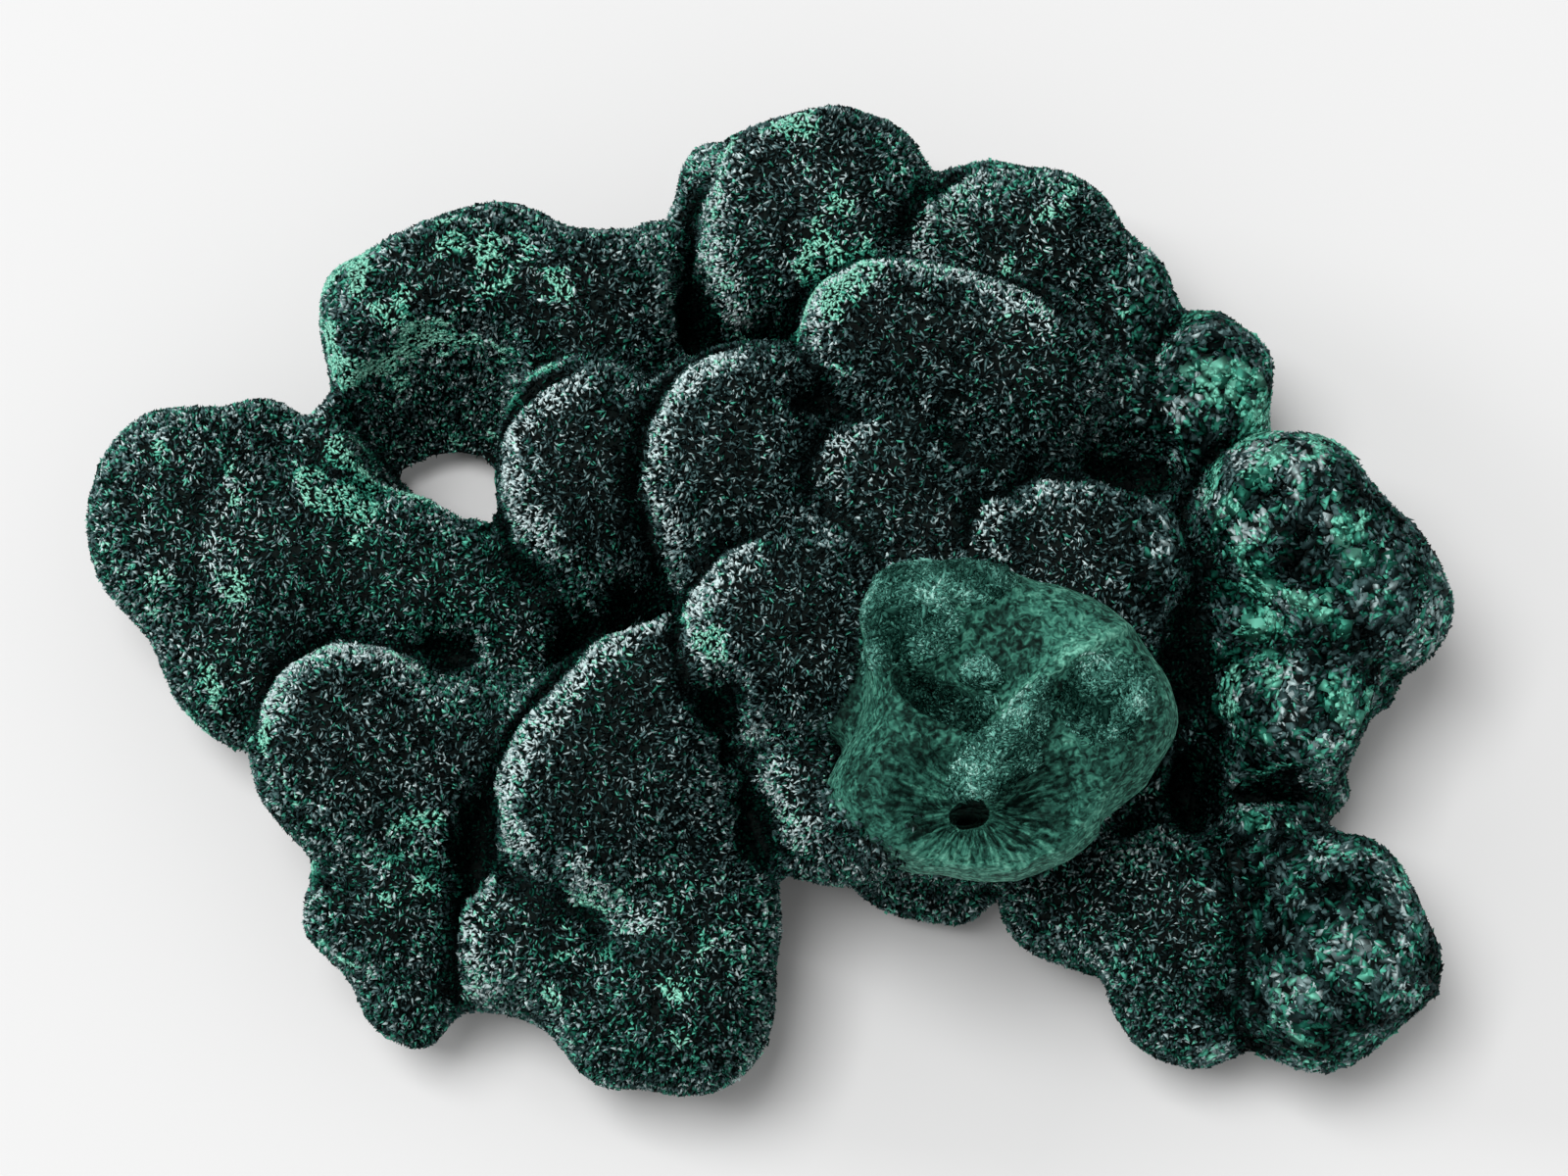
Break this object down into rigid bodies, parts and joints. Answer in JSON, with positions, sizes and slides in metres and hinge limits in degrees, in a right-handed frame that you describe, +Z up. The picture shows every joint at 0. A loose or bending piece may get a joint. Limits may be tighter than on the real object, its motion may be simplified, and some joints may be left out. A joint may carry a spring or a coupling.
{
  "type": "malachite specimen",
  "caption": "Botryoidal velvet malachite hand specimen: rounded dark green fibrous lobes grown as one piece, with a pale broken stalk, resting on its flat broken underside.",
  "frame": {"origin": "on the surface under the middle of the specimen's box", "axes": "+X along the length of the cluster, +Y away from the viewer, +Z up out of the broken underside"},
  "size_m": [0.088, 0.0642, 0.0342],
  "materials": {
    "malachite": "velvety, fibrous"
  },
  "bodies": {
    "root": {"malachite_specimen": "malachite"}
  },
  "joints": []
}
